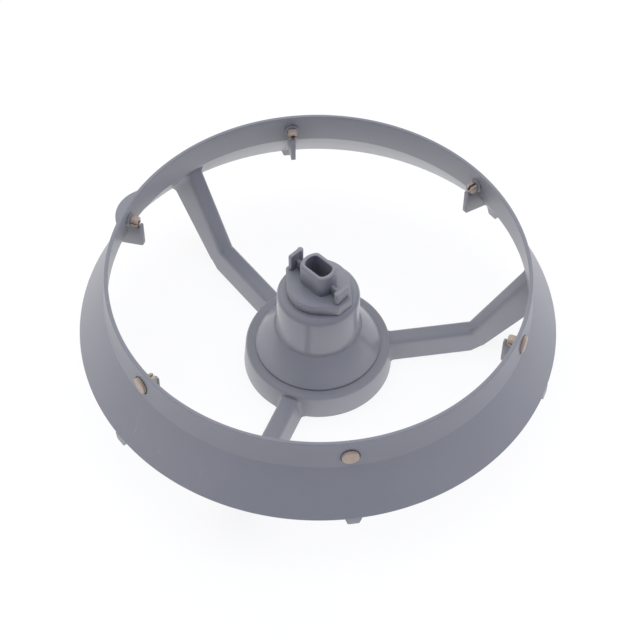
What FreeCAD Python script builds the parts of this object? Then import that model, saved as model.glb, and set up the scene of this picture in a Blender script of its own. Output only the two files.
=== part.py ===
import FreeCAD, Part
import math
import os

# Microwave roller ring: a spoked ring with a flared skirt and six small rollers,
# and a coupling that turns in its hub and carries two drive dogs.
# Millimetres. The origin is on the ring's axis, at the level of the hub's underside.
# +Z is up, and the first spoke points along +X.

# Levels above the hub's underside
rim_top = 66.5
skirt_bottom = 30.5
hub_height = 13.3

# Ring wall and skirt
rim_outer_radius = 95.0
wall_height = 14.7
wall_draft = 1.4
wall_thickness = 1.8
skirt_flare = 13.0
skirt_thickness = 2.2
rim_edge_radius = 0.4
bend_radius = 1.5

# Feet on the skirt's lower edge
foot_count = 6
foot_top_width = 7.2
foot_bottom_width = 5.0
foot_drop = 3.6
foot_corner_radius = 0.8
foot_root_radius = 0.6

# Half-round tab at the rim
tab_angle = 150.0
tab_radius = 16.2
tab_reach = 3.4
tab_thickness = 2.0

# Spokes
spoke_count = 3
spoke_top_width = 7.6
spoke_draft_angle = 12.5
spoke_wall = 1.8
spoke_level_angle = 1.2
spoke_bend_inset = 22.2
spoke_bend_level = 11.4
spoke_rise_angle = 56.0
spoke_edge_radius = 1.8
spoke_underside_inset = 19.0
spoke_underside_angle = 48.0
spoke_underside_radius = 8.0
spoke_end_wall = 2.0

# Hub
hub_top_radius = 33.6
hub_bottom_radius = 34.7
hub_wall = 2.4
hub_edge_radius = 1.8
hub_top_thickness = 2.3
hub_bore_radius = 24.6

# Rollers, six round heads, each with a stub axle through the wall below the rim's top
roller_count = 6
roller_first_angle = 30.0
roller_drop = 8.5
roller_head_radius = 3.8
roller_head_thickness = 1.6
roller_head_edge_radius = 0.6
roller_head_gap = 0.4
roller_recess_depth = 0.7
roller_recess_clearance = 0.5
roller_boss_radius = 3.4
roller_boss_height = 1.4
roller_axle_radius = 2.0
roller_axle_clearance = 0.08
roller_barb_radius = 2.6
roller_barb_gap = 0.3
roller_barb_length = 3.3
roller_barb_straight = 2.3
roller_tip_radius = 2.2
roller_slot_width = 1.0
roller_bore_radius = 1.1
roller_bore_depth = 3.8

# Ribs under the rollers, with their levels given as drops below a roller's axis
rib_thickness = 2.2
rib_horn_width = 1.4
rib_horn_drop = 1.1
rib_tip_gap = 0.4
rib_barb_clearance = 0.35
rib_tip_drop = 14.6
rib_foot_drop = 17.8
rib_tip_radius = 1.6
rib_horn_radius = 0.5

# Coupling, a hollow tower on a flared flange that rests on the hub
coupling_clearance = 0.3
flange_rim_radius = 29.2
flange_rim_height = 1.0
flange_thickness = 2.2
flange_top_radius = 20.3
flange_top_level = 26.6
tower_bottom_radius = 19.1
tower_top_radius = 18.9
tower_wall = 2.2
tower_top = 50.3
tower_top_thickness = 2.4
tower_edge_radius = 3.5
tower_root_radius = 1.0
hook_count = 3
hook_width = 10.0
hook_thickness = 1.7
hook_reach = 1.2
hook_length = 2.2
hook_axial_clearance = 0.3
hook_root_level = 19.9

# Drive insert, a keyed plate with two dogs of unequal height and a socket on a stem
insert_angle = -52.5
insert_clearance = 0.05
stem_radius = 9.0
stem_bottom = 4.0
plate_thickness = 5.4
plate_radius = 14.3
plate_flat_distance = 16.8
plate_flat_half_length = 4.0
plate_edge_radius = 0.5
boss_height = 11.6
boss_radius = 8.3
boss_half_width = 5.8
boss_corner_radius = 2.5
boss_edge_radius = 0.9
socket_radius = 6.3
socket_half_width = 3.9
socket_corner_radius = 2.2
low_dog_height = 6.5
high_dog_height = 9.5
dog_thickness = 1.85
dog_setback = 1.7
dog_corner_radius = 0.8
dog_post_radius = 1.4
dog_post_offset = 2.45
dog_post_proud = 0.3
bridge_width = 1.6
bridge_height = 5.0

# Construction margins: how far a cutting or trimming solid runs past what it cuts,
# and how near two levels or faces have to be to count as one
past = 5.0
same_place = 0.0001

# Derived levels and radii
bend_level = rim_top - wall_height
roller_level = rim_top - roller_drop
rib_horn_level = roller_level - rib_horn_drop
rib_tip_level = roller_level - rib_tip_drop
rib_foot_level = roller_level - rib_foot_drop
bend_outer_radius = rim_outer_radius + wall_draft
skirt_outer_radius = bend_outer_radius + skirt_flare
skirt_height = bend_level - skirt_bottom
wall_slope = wall_draft / wall_height
skirt_slope = skirt_flare / skirt_height
wall_run = wall_thickness * math.hypot(1.0, wall_slope)
skirt_run = skirt_thickness * math.hypot(1.0, skirt_slope)
plate_bottom = tower_top
plate_top = plate_bottom + plate_thickness
hub_ceiling = hub_height - hub_top_thickness
spoke_bend_radius = rim_outer_radius - spoke_bend_inset
spoke_underside_bend = rim_outer_radius - spoke_underside_inset
spoke_side_slope = math.tan(math.radians(spoke_draft_angle))
up = FreeCAD.Vector(0, 0, 1)
outward = FreeCAD.Vector(1, 0, 0)
centre = FreeCAD.Vector(0, 0, 0)


def vector(x, y, z):
    """A point or direction."""
    return FreeCAD.Vector(x, y, z)


def rounded_wire(corners):
    """Closed wire through corners, each a pair of a point and the radius that rounds it."""
    count = len(corners)
    starts = []
    ends = []
    middles = []
    for index in range(count):
        point, radius = corners[index]
        back = (corners[index - 1][0] - point).normalize()
        ahead = (corners[(index + 1) % count][0] - point).normalize()
        half_angle = back.getAngle(ahead) / 2
        reach = radius / math.tan(half_angle)
        inward = (back + ahead).normalize()
        starts.append(point + back * reach)
        ends.append(point + ahead * reach)
        middles.append(point + inward * (radius / math.sin(half_angle) - radius))
    edges = []
    for index in range(count):
        if corners[index][1] > 0:
            edges.append(Part.Arc(starts[index], middles[index], ends[index]).toShape())
        edges.append(Part.LineSegment(ends[index], starts[(index + 1) % count]).toShape())
    return Part.Wire(edges)


def turned(corners):
    """Solid of revolution about Z from corners given as (radius, level, rounding)."""
    wire = rounded_wire([(vector(radius, 0, level), rounding) for radius, level, rounding in corners])
    return Part.Face(wire).revolve(centre, up, 360)


def radial_plate(corners, thickness):
    """Flat plate in the XZ plane, thickness centred on it, from corners (radius, level, rounding)."""
    half = thickness / 2
    wire = rounded_wire([(vector(radius, -half, level), rounding) for radius, level, rounding in corners])
    return Part.Face(wire).extrude(vector(0, thickness, 0))


def about_axis(shape, angle):
    """A copy of the shape turned about the ring's axis."""
    copy = shape.copy()
    copy.rotate(centre, up, angle)
    return copy


def around(shape, count, first_angle):
    """Copies of the shape, evenly spaced about the ring's axis."""
    return [about_axis(shape, first_angle + 360.0 * index / count) for index in range(count)]


def fused(shapes):
    """One solid from shapes that meet."""
    return shapes[0].multiFuse(shapes[1:]).removeSplitter()


def wall_radius(level):
    """Outer radius of the wall at a level."""
    return rim_outer_radius + (rim_top - level) * wall_slope


def skirt_radius(level):
    """Outer radius of the skirt at a level."""
    return bend_outer_radius + (bend_level - level) * skirt_slope


def inner_bend(wall_inset, skirt_inset):
    """Radius and level where the wall's and the skirt's inward offsets meet."""
    drop = (wall_inset - skirt_inset) / (wall_slope - skirt_slope)
    return bend_outer_radius - wall_inset + drop * wall_slope, bend_level - drop


def shell_filling(wall_inset, skirt_inset):
    """Solid that fills the ring's shell up to surfaces set in from its outside."""
    bend_inner, bend_inner_level = inner_bend(wall_inset, skirt_inset)
    return turned([
        (0, skirt_bottom - foot_drop - past, 0),
        (skirt_radius(skirt_bottom - foot_drop - past) - skirt_inset, skirt_bottom - foot_drop - past, 0),
        (bend_inner, bend_inner_level, 0),
        (rim_outer_radius - wall_inset, rim_top, 0),
        (0, rim_top, 0),
    ])


def shell():
    """The round wall and the flared skirt below it."""
    bend_inner, bend_inner_level = inner_bend(wall_run, skirt_run)
    return turned([
        (rim_outer_radius, rim_top, rim_edge_radius),
        (bend_outer_radius, bend_level, bend_radius),
        (skirt_outer_radius, skirt_bottom, 0),
        (skirt_outer_radius - skirt_run, skirt_bottom, 0),
        (bend_inner, bend_inner_level, bend_radius),
        (rim_outer_radius - wall_run, rim_top, rim_edge_radius),
    ])


def foot():
    """One small upright foot under the skirt's edge, on the +X side before it is turned to its place."""
    lowest = skirt_bottom - foot_drop
    root = skirt_bottom + foot_drop
    spread = foot_top_width / 2 + 2 * foot_root_radius
    wire = rounded_wire([
        (vector(0, -spread, root), 0),
        (vector(0, -spread, skirt_bottom), 0),
        (vector(0, -foot_top_width / 2, skirt_bottom), foot_root_radius),
        (vector(0, -foot_bottom_width / 2, lowest), foot_corner_radius),
        (vector(0, foot_bottom_width / 2, lowest), foot_corner_radius),
        (vector(0, foot_top_width / 2, skirt_bottom), foot_root_radius),
        (vector(0, spread, skirt_bottom), 0),
        (vector(0, spread, root), 0),
    ])
    blank = Part.Face(wire).extrude(vector(skirt_outer_radius + past, 0, 0))
    band = turned([
        (skirt_radius(root) - skirt_run, root, 0),
        (skirt_radius(root), root, 0),
        (skirt_outer_radius, skirt_bottom, 0),
        (skirt_outer_radius, lowest, 0),
        (skirt_outer_radius - skirt_run, lowest, 0),
        (skirt_outer_radius - skirt_run, skirt_bottom, 0),
    ])
    return blank.common(band)


def rim_tab():
    """Half-round tab that stands out of the rim, flush with its top."""
    tab_centre = vector(rim_outer_radius + tab_reach - tab_radius, 0, rim_top - tab_thickness)
    disc = Part.makeCylinder(tab_radius, tab_thickness, tab_centre)
    inside = Part.makeCylinder(rim_outer_radius - wall_thickness / 2, rim_top)
    return about_axis(disc.cut(inside), tab_angle)


def boss_end():
    """Radius from the ring's axis to the inner face of a roller's boss."""
    return wall_radius(roller_level) - wall_run - roller_boss_height


def roller_end():
    """Radius from the ring's axis to a roller's inner tip."""
    return boss_end() - roller_barb_gap - roller_barb_length


def roller_rib():
    """Thin rib under one roller, with a notch that the roller's inner end lies in."""
    notch_inner = roller_end() - rib_tip_gap
    horn_inner = notch_inner - rib_horn_width
    notch_level = roller_level - roller_barb_radius - rib_barb_clearance
    in_wall = wall_radius(notch_level) - wall_run / 2
    in_bend, in_bend_level = inner_bend(wall_run / 2, skirt_run / 2)
    in_skirt = skirt_radius(rib_foot_level) - skirt_run / 2
    return radial_plate([
        (horn_inner, rib_tip_level, rib_tip_radius),
        (horn_inner, rib_horn_level, rib_horn_radius),
        (notch_inner, rib_horn_level, rib_horn_radius),
        (notch_inner, notch_level, rib_horn_radius),
        (in_wall, notch_level, 0),
        (in_bend, in_bend_level, 0),
        (in_skirt, rib_foot_level, 0),
    ], rib_thickness)


def direction(angle):
    """Direction in the XZ plane at an angle above level."""
    return vector(math.cos(math.radians(angle)), 0, math.sin(math.radians(angle)))


def lowered_bend(lowering):
    """Where a spoke's two top lines meet when both are moved down into the spoke."""
    middle = direction((spoke_level_angle + spoke_rise_angle) / 2)
    reach = lowering / math.cos(math.radians(spoke_rise_angle - spoke_level_angle) / 2)
    return vector(spoke_bend_radius + middle.z * reach, 0, spoke_bend_level - middle.x * reach)


def spoke_bar(bend, angle, half_width, rounding):
    """Long bar with sloping sides, its top line passing through the bend at an angle above level."""
    ahead = direction(angle)
    down = vector(ahead.z, 0, -ahead.x)
    depth = spoke_bend_radius
    spread = half_width + depth * spoke_side_slope
    tail = bend - ahead * skirt_outer_radius
    wire = rounded_wire([
        (tail + vector(0, -half_width, 0), rounding),
        (tail + vector(0, half_width, 0), rounding),
        (tail + down * depth + vector(0, spread, 0), 0),
        (tail + down * depth + vector(0, -spread, 0), 0),
    ])
    return Part.Face(wire).extrude(ahead * (2 * skirt_outer_radius))


def spoke_outline(inner_radius, lowering, underside_drop):
    """Side view of a spoke as a wide plate: nearly level from the hub, then rising to the skirt."""
    top_bend = lowered_bend(lowering)
    level_slope = math.tan(math.radians(spoke_level_angle))
    rise_slope = math.tan(math.radians(spoke_rise_angle))
    underside_slope = math.tan(math.radians(spoke_underside_angle))
    underside_level = (spoke_underside_bend - hub_bottom_radius) * level_slope - underside_drop
    end = skirt_outer_radius
    return radial_plate([
        (inner_radius, -underside_drop, 0),
        (spoke_underside_bend, underside_level, spoke_underside_radius),
        (end, underside_level + (end - spoke_underside_bend) * underside_slope, 0),
        (end, top_bend.z + (end - top_bend.x) * rise_slope, 0),
        (top_bend.x, top_bend.z, 0),
        (inner_radius, top_bend.z - (top_bend.x - inner_radius) * level_slope, 0),
    ], 2 * skirt_outer_radius)


def spoke_form(inner_radius, lowering, half_width, rounding, underside_drop):
    """A spoke's solid form before its outer end is trimmed to the skirt."""
    bend = lowered_bend(lowering)
    level_bar = spoke_bar(bend, spoke_level_angle, half_width, rounding)
    rising_bar = spoke_bar(bend, spoke_rise_angle, half_width, rounding)
    outline = spoke_outline(inner_radius, lowering, underside_drop)
    return outline.common(level_bar.fuse(rising_bar))


def spoke():
    """One spoke along +X, a channel that is open below."""
    half_width = spoke_top_width / 2
    channel_half_width = half_width + spoke_wall * (spoke_side_slope - math.hypot(1, spoke_side_slope))
    body = spoke_form(hub_bottom_radius - hub_wall / 2, 0, half_width, spoke_edge_radius, 0)
    body = body.common(spoke_limit(wall_run / 2, skirt_run / 2))
    channel = spoke_form(hub_bottom_radius + spoke_end_wall, spoke_wall, channel_half_width, 0, past)
    channel = channel.common(spoke_limit(wall_run + spoke_end_wall, skirt_run + spoke_end_wall))
    return body.cut(channel)


def spoke_limit(wall_inset, skirt_inset):
    """Solid that a spoke has to stay in, so that its outer end stops inside the shell."""
    low = skirt_bottom - past
    return fused([
        shell_filling(wall_inset, skirt_inset),
        Part.makeCylinder(skirt_radius(low) - skirt_inset, low + 2 * past, vector(0, 0, -2 * past)),
    ])


def hub():
    """The round hub, open below, with a round hole in its flat top."""
    inner_wall = hub_bottom_radius - hub_wall
    return turned([
        (hub_bottom_radius, 0, 0),
        (hub_top_radius, hub_height, hub_edge_radius),
        (hub_bore_radius, hub_height, 0),
        (hub_bore_radius, hub_ceiling, 0),
        (inner_wall, hub_ceiling, 0),
        (inner_wall, 0, 0),
    ])


def roller_boss():
    """Round boss inside the wall that lengthens the hole for one roller's axle."""
    length = wall_radius(roller_level) - wall_run / 2 - boss_end()
    start = vector(boss_end(), 0, roller_level)
    return Part.makeCylinder(roller_boss_radius, length, start, outward)


def roller_seat():
    """Hole for one roller's axle, with a shallow recess round the roller's head."""
    hole_radius = roller_axle_radius + roller_axle_clearance
    recess_radius = roller_head_radius + roller_recess_clearance
    hole_start = vector(boss_end() - past, 0, roller_level)
    hole_length = rim_outer_radius - boss_end() + 2 * past
    recess_start = vector(wall_radius(roller_level) - roller_recess_depth, 0, roller_level)
    hole = Part.makeCylinder(hole_radius, hole_length, hole_start, outward)
    recess = Part.makeCylinder(recess_radius, past, recess_start, outward)
    return hole.fuse(recess)


def ring_frame():
    """Wall, skirt, feet, tab, ribs, spokes and hub, all one moulding."""
    pieces = [shell(), hub(), rim_tab()]
    pieces += around(foot(), foot_count, roller_first_angle)
    pieces += around(roller_rib(), roller_count, roller_first_angle)
    pieces += around(roller_boss(), roller_count, roller_first_angle)
    pieces += around(spoke(), spoke_count, 0)
    body = fused(pieces)
    for seat in around(roller_seat(), roller_count, roller_first_angle):
        body = body.cut(seat)
    return body


def roller():
    """One roller with its axle and its split, barbed inner end, along +X."""
    head_inner = wall_radius(roller_level) - roller_recess_depth + roller_head_gap
    head_outer = head_inner + roller_head_thickness
    tip = roller_end()
    barb_outer = tip + roller_barb_length
    barb_taper = barb_outer - roller_barb_straight
    outline = [
        (tip, 0, 0),
        (tip, roller_tip_radius, 0),
        (barb_taper, roller_barb_radius, 0),
        (barb_outer, roller_barb_radius, 0),
        (barb_outer, roller_axle_radius, 0),
        (head_inner, roller_axle_radius, 0),
        (head_inner, roller_head_radius, 0),
        (head_outer, roller_head_radius, roller_head_edge_radius),
        (head_outer, 0, 0),
    ]
    wire = rounded_wire([(vector(along, 0, radius), rounding) for along, radius, rounding in outline])
    body = Part.Face(wire).revolve(centre, outward, 360)
    cut_length = roller_bore_depth + past
    bore = Part.makeCylinder(roller_bore_radius, cut_length, vector(tip - past, 0, 0), outward)
    slot_corner = vector(tip - past, -roller_slot_width / 2, -roller_barb_radius - past)
    slot = Part.makeBox(cut_length, roller_slot_width, 2 * (roller_barb_radius + past), slot_corner)
    body = body.cut(bore).cut(slot)
    body.translate(vector(0, 0, roller_level))
    return body


def snap_hook():
    """One springy hook under the flange, curved with the hub's hole, which catches below its edge."""
    outer = hub_bore_radius - coupling_clearance
    inner = outer - hook_thickness
    catch_top = hub_ceiling - hook_axial_clearance
    catch_bottom = catch_top - hook_length
    wire = rounded_wire([
        (vector(inner, 0, catch_bottom), 0),
        (vector(inner, 0, hook_root_level), 0),
        (vector(outer, 0, hook_root_level), 0),
        (vector(outer, 0, catch_top), 0),
        (vector(outer + hook_reach, 0, catch_top), 0),
        (vector(outer, 0, catch_bottom), 0),
    ])
    width_angle = math.degrees(hook_width / outer)
    hook = Part.Face(wire).revolve(centre, up, width_angle)
    return about_axis(hook, -width_angle / 2)


def coupling():
    """Hollow tower on a flared flange, with snap hooks underneath."""
    rim_level = hub_height + flange_rim_height
    flare = (flange_rim_radius - flange_top_radius) / (flange_top_level - rim_level)
    flange_run = flange_thickness * math.hypot(1.0, flare)
    tower_inner = tower_top_radius - tower_wall
    inner_foot_radius = flange_rim_radius - flange_run + flange_rim_height * flare
    inner_top_level = hub_height + (inner_foot_radius - tower_inner) / flare
    ceiling = tower_top - tower_top_thickness
    body = turned([
        (flange_rim_radius, hub_height, 0),
        (flange_rim_radius, rim_level, 0),
        (flange_top_radius, flange_top_level, 0),
        (tower_bottom_radius, flange_top_level, tower_root_radius),
        (tower_top_radius, tower_top, tower_edge_radius),
        (stem_radius + insert_clearance, tower_top, 0),
        (stem_radius + insert_clearance, ceiling, 0),
        (tower_inner, ceiling, 0),
        (tower_inner, inner_top_level, 0),
        (inner_foot_radius, hub_height, 0),
    ])
    return fused([body] + around(snap_hook(), hook_count, insert_angle))


def double_d(radius, half_width, corner_radius, height, level):
    """Upright prism, round at both ends of its X axis and flat on its two sides."""
    round_bar = Part.makeCylinder(radius, height, vector(0, 0, level))
    slab = Part.makeBox(4 * radius, 2 * half_width, height, vector(-2 * radius, -half_width, level))
    bar = round_bar.common(slab)
    uprights = []
    for edge in bar.Edges:
        middle = edge.CenterOfMass
        stands = abs(edge.Vertexes[0].Z - edge.Vertexes[-1].Z) > height / 2
        if stands and abs(abs(middle.y) - half_width) < same_place:
            uprights.append(edge)
    return bar.makeFillet(corner_radius, uprights)


def edges_at_level(shape, level):
    """Edges of the shape that lie wholly at a level."""
    found = []
    for edge in shape.Edges:
        box = edge.BoundBox
        if abs(box.ZMin - level) < same_place and abs(box.ZMax - level) < same_place:
            found.append(edge)
    return found


def insert_plate():
    """Round plate that widens to a flat at each dog."""
    corner_angle = math.atan2(plate_flat_half_length, plate_flat_distance)
    corner_distance = math.hypot(plate_flat_distance, plate_flat_half_length)
    touch_angle = corner_angle + math.acos(plate_radius / corner_distance)
    touch_x = plate_radius * math.cos(touch_angle)
    touch_y = plate_radius * math.sin(touch_angle)
    one_side = [
        vector(plate_flat_distance, -plate_flat_half_length, plate_bottom),
        vector(plate_flat_distance, plate_flat_half_length, plate_bottom),
        vector(touch_x, touch_y, plate_bottom),
        vector(0, plate_radius, plate_bottom),
        vector(-touch_x, touch_y, plate_bottom),
    ]
    edges = []
    other_side = [vector(-corner.x, -corner.y, corner.z) for corner in one_side]
    for corners, next_side in ((one_side, other_side), (other_side, one_side)):
        edges.append(Part.LineSegment(corners[0], corners[1]).toShape())
        edges.append(Part.LineSegment(corners[1], corners[2]).toShape())
        edges.append(Part.Arc(corners[2], corners[3], corners[4]).toShape())
        edges.append(Part.LineSegment(corners[4], next_side[0]).toShape())
    plate = Part.Face(Part.Wire(edges)).extrude(vector(0, 0, plate_thickness))
    return plate.makeFillet(plate_edge_radius, edges_at_level(plate, plate_top))


def dog(height):
    """One upright dog on the plate's +X side: a flat blade that ends in a round post."""
    outer = plate_flat_distance - dog_setback
    level = plate_top - plate_edge_radius
    top = plate_top + height
    wire = rounded_wire([
        (vector(outer, -dog_post_offset, level), 0),
        (vector(outer, plate_flat_half_length, level), 0),
        (vector(outer, plate_flat_half_length, top), dog_corner_radius),
        (vector(outer, -dog_post_offset, top), 0),
    ])
    blade = Part.Face(wire).extrude(vector(-dog_thickness, 0, 0))
    post_centre = vector(outer + dog_post_proud - dog_post_radius, -dog_post_offset, level)
    post = Part.makeCylinder(dog_post_radius, top - level, post_centre)
    bridge_length = outer - dog_thickness / 2
    bridge_start = vector(0, -bridge_width / 2, level)
    bridge = Part.makeBox(bridge_length, bridge_width, bridge_height + plate_edge_radius, bridge_start)
    return fused([blade, post, bridge])


def drive_insert():
    """Keyed plate, stem, socket boss and two dogs, all one piece."""
    boss_top = plate_top + boss_height
    boss = double_d(boss_radius, boss_half_width, boss_corner_radius, boss_top - plate_bottom, plate_bottom)
    boss = boss.makeFillet(boss_edge_radius, edges_at_level(boss, boss_top))
    stem_length = plate_bottom - stem_bottom + plate_edge_radius
    stem = Part.makeCylinder(stem_radius, stem_length, vector(0, 0, stem_bottom))
    dogs = [dog(low_dog_height), about_axis(dog(high_dog_height), 180)]
    body = fused([insert_plate(), stem, boss] + dogs)
    socket_start = stem_bottom - past
    socket_length = boss_top + past - socket_start
    socket = double_d(socket_radius, socket_half_width, socket_corner_radius, socket_length, socket_start)
    return about_axis(body.cut(socket), insert_angle)


def write(name, shape):
    """Checks that the shape is one sound solid and writes it."""
    solids = shape.Solids
    if len(solids) != 1 or not solids[0].isValid():
        raise ValueError(name + " is not one sound solid")
    solids[0].exportStep("parts/" + name + ".step")


os.makedirs("parts", exist_ok=True)
write("ring_frame", ring_frame())
write("coupling", coupling())
write("drive_insert", drive_insert())
for number, piece in enumerate(around(roller(), roller_count, roller_first_angle), start=1):
    write("roller_" + str(number), piece)
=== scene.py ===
"""Looks of a microwave roller ring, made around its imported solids.

The ring, the turning coupling, the drive insert and the rollers are made again as fine meshes
in the places of their solids, with the rounded edges and blends of the moulded pieces, and get
their plastics' finishes. The pieces' sizes are millimetres, and so are meshes while they are
made. A finished mesh is in metres.
"""

import logging
import math
from collections.abc import Sequence
from dataclasses import dataclass, field
from enum import Enum
from typing import Any

import bmesh
import bpy
from mathutils import Matrix, Vector


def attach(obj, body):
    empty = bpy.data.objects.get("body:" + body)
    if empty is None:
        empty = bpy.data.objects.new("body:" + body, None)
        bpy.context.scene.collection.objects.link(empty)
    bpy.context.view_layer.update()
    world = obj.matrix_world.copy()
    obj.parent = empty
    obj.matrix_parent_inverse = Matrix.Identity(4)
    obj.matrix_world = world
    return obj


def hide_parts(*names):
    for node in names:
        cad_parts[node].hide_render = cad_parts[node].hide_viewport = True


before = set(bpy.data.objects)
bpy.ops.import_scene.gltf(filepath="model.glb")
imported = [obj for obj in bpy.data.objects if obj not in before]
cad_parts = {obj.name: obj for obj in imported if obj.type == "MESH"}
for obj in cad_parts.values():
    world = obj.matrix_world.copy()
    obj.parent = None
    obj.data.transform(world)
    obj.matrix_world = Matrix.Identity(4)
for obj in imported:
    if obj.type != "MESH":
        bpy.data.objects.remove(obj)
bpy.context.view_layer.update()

log = logging.getLogger("roller_ring")

MM = 0.001
ARC_STEP = 15.0
MERGE_DISTANCE = 0.0005
SHARP_ANGLE = 32.0
HAIR = 0.02
NOISE_ROUGHNESS = 0.55

Point2 = tuple[float, float]
Colour = tuple[float, float, float]


class Slot(Enum):
    """The record's material slots."""

    RING = "ring_plastic"
    COUPLING = "coupling_plastic"
    INSERT = "insert_plastic"
    ROLLER = "roller_plastic"


class Join(Enum):
    """How a mesh is joined with others."""

    UNION = "UNION"
    DIFFERENCE = "DIFFERENCE"


@dataclass(frozen=True)
class Corner:
    """One corner of an outline, with the radius that rounds it."""

    across: float
    level: float
    rounding: float = 0.0


@dataclass(frozen=True)
class Layout:
    """The places that several mouldings share.

    Fields:
        roller_count: How many rollers sit in the ring's wall.
        roller_first: The first roller's angle, in degrees.
        roller_level: Level of the rollers' axes.
        hub_height: Level of the hub's top, which the coupling rests on.
        tower_top: Level of the tower's top, which the insert rests on.
        coupling_turn: The angle that the coupling and its insert stand at, in degrees.
    """

    roller_count: int = 6
    roller_first: float = 30.0
    roller_level: float = 58.0
    hub_height: float = 13.3
    tower_top: float = 50.3
    coupling_turn: float = -52.5


class Graph:
    """A node tree that is built by calls, for shaders and for geometry."""

    def __init__(self, tree: bpy.types.NodeTree) -> None:
        """Keep the tree that nodes are added to."""
        self.tree = tree

    def node(self, kind: str, settings: dict[str, Any], values: dict[Any, Any]) -> bpy.types.Node:
        """Add one node.

        Args:
            kind: The node's type.
            settings: Its properties, set first. "stops" are a ramp's positions and colours.
            values: Values or links for its inputs, by name or number.

        Returns:
            The new node.
        """
        made = self.tree.nodes.new(kind)
        for name, value in settings.items():
            if name == "stops":
                self.fill_ramp(made.color_ramp, value)
            else:
                setattr(made, name, value)
        for key, value in values.items():
            self.feed(made.inputs[key], value)
        return made

    @staticmethod
    def fill_ramp(ramp: bpy.types.ColorRamp, stops: Sequence[tuple[float, Colour]]) -> None:
        """Give a ramp its stops, each a position and a colour.

        Args:
            ramp: The ramp.
            stops: The positions, rising, with their colours.
        """
        while len(ramp.elements) < len(stops):
            ramp.elements.new(1.0)
        for element, (position, colour) in zip(ramp.elements, stops):
            element.position = position
            element.color = (*colour, 1.0)

    def feed(self, socket: bpy.types.NodeSocket, value: Any) -> None:
        """Link a wrapped socket into an input, or set the input's own value.

        Args:
            socket: The input.
            value: A wrapped output, or the value itself.
        """
        if isinstance(value, Wire):
            self.tree.links.new(value.socket, socket)
        else:
            socket.default_value = value

    def wire(self, kind: str, settings: dict[str, Any], values: dict[Any, Any],
             output: Any = 0) -> "Wire":
        """Add one node and wrap one of its outputs.

        Args:
            kind: The node's type.
            settings: Its properties.
            values: Values or links for its inputs.
            output: The output's name or number.

        Returns:
            The wrapped output.
        """
        return Wire(self, self.node(kind, settings, values).outputs[output])

    def noise(self, place: "Wire", size: float, detail: float) -> "Wire":
        """Smooth noise whose blobs are about as large as the size, in millimetres.

        Args:
            place: Where it is read.
            size: About how large its blobs are.
            detail: How many finer layers it has.

        Returns:
            The noise, around a half.
        """
        return self.wire("ShaderNodeTexNoise", {}, {
            "Vector": place,
            "Scale": 1.0 / (size * MM),
            "Detail": detail,
            "Roughness": NOISE_ROUGHNESS,
        })

    def eased(self, value: "Wire", limits: Point2) -> "Wire":
        """The value spread smoothly from nothing at the low limit to one at the high limit.

        Args:
            value: The value.
            limits: The low and the high limit.

        Returns:
            The spread value.
        """
        return self.wire("ShaderNodeMapRange", {"interpolation_type": "SMOOTHSTEP"}, {
            "Value": value,
            "From Min": limits[0],
            "From Max": limits[1],
        })

    def blend(self, share: "Wire", first: Any, second: Any) -> "Wire":
        """Mix two colours, each a wire or three numbers, by the second one's share."""
        colours = [given if isinstance(given, Wire) else (*given, 1.0) for given in (first, second)]
        return self.wire("ShaderNodeMix", {"data_type": "RGBA"}, {0: share, 6: colours[0], 7: colours[1]}, 2)


class Wire:
    """A number socket in arithmetic: each operator adds its Math node."""

    def __init__(self, graph: Graph, socket: bpy.types.NodeSocket) -> None:
        """Wrap a socket of the graph's tree."""
        self.graph = graph
        self.socket = socket

    def maths(self, operation: str, first: Any, second: Any = 0.0) -> "Wire":
        """Add one Math node on two values."""
        return self.graph.wire("ShaderNodeMath", {"operation": operation}, {0: first, 1: second})

    def __add__(self, other: Any) -> "Wire":
        """Sum of the two."""
        return self.maths("ADD", self, other)

    def __radd__(self, other: Any) -> "Wire":
        """Sum of the two."""
        return self.maths("ADD", other, self)

    def __sub__(self, other: Any) -> "Wire":
        """This less the other."""
        return self.maths("SUBTRACT", self, other)

    def __rsub__(self, other: Any) -> "Wire":
        """The other less this."""
        return self.maths("SUBTRACT", other, self)

    def __mul__(self, other: Any) -> "Wire":
        """Product of the two."""
        return self.maths("MULTIPLY", self, other)

    def __rmul__(self, other: Any) -> "Wire":
        """Product of the two."""
        return self.maths("MULTIPLY", other, self)

    def __truediv__(self, other: Any) -> "Wire":
        """This over the other."""
        return self.maths("DIVIDE", self, other)

    def __rtruediv__(self, other: Any) -> "Wire":
        """The other over this."""
        return self.maths("DIVIDE", other, self)

    def __mod__(self, other: Any) -> "Wire":
        """What is left of this over the other."""
        return self.maths("MODULO", self, other)

    def __rmod__(self, other: Any) -> "Wire":
        """What is left of the other over this."""
        return self.maths("MODULO", other, self)

    def floor(self) -> "Wire":
        """The whole number below."""
        return self.maths("FLOOR", self)


def cleared(owner: bpy.types.Material | bpy.types.World) -> Graph:
    """Give a material or a world an empty node tree, and wrap the tree.

    Args:
        owner: The material or the world.

    Returns:
        The graph of its tree.
    """
    owner.use_nodes = True
    owner.node_tree.nodes.clear()
    return Graph(owner.node_tree)


def clean_mesh(build: bmesh.types.BMesh, name: str) -> bpy.types.Mesh:
    """Merge a mesh's doubles, turn its faces outwards and end its making.

    Args:
        build: The mesh in the making, which is freed.
        name: The finished mesh's name.

    Returns:
        The finished mesh.
    """
    bmesh.ops.remove_doubles(build, verts=build.verts[:], dist=MERGE_DISTANCE)
    bmesh.ops.recalc_face_normals(build, faces=build.faces[:])
    mesh = bpy.data.meshes.new(name)
    build.to_mesh(mesh)
    build.free()
    return mesh


def placed(mesh: bpy.types.Mesh, name: str) -> bpy.types.Object:
    """Put a mesh into the scene as an object at the origin.

    Args:
        mesh: The mesh.
        name: The object's name.

    Returns:
        The object.
    """
    made = bpy.data.objects.new(name, mesh)
    bpy.context.scene.collection.objects.link(made)
    return made


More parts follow.
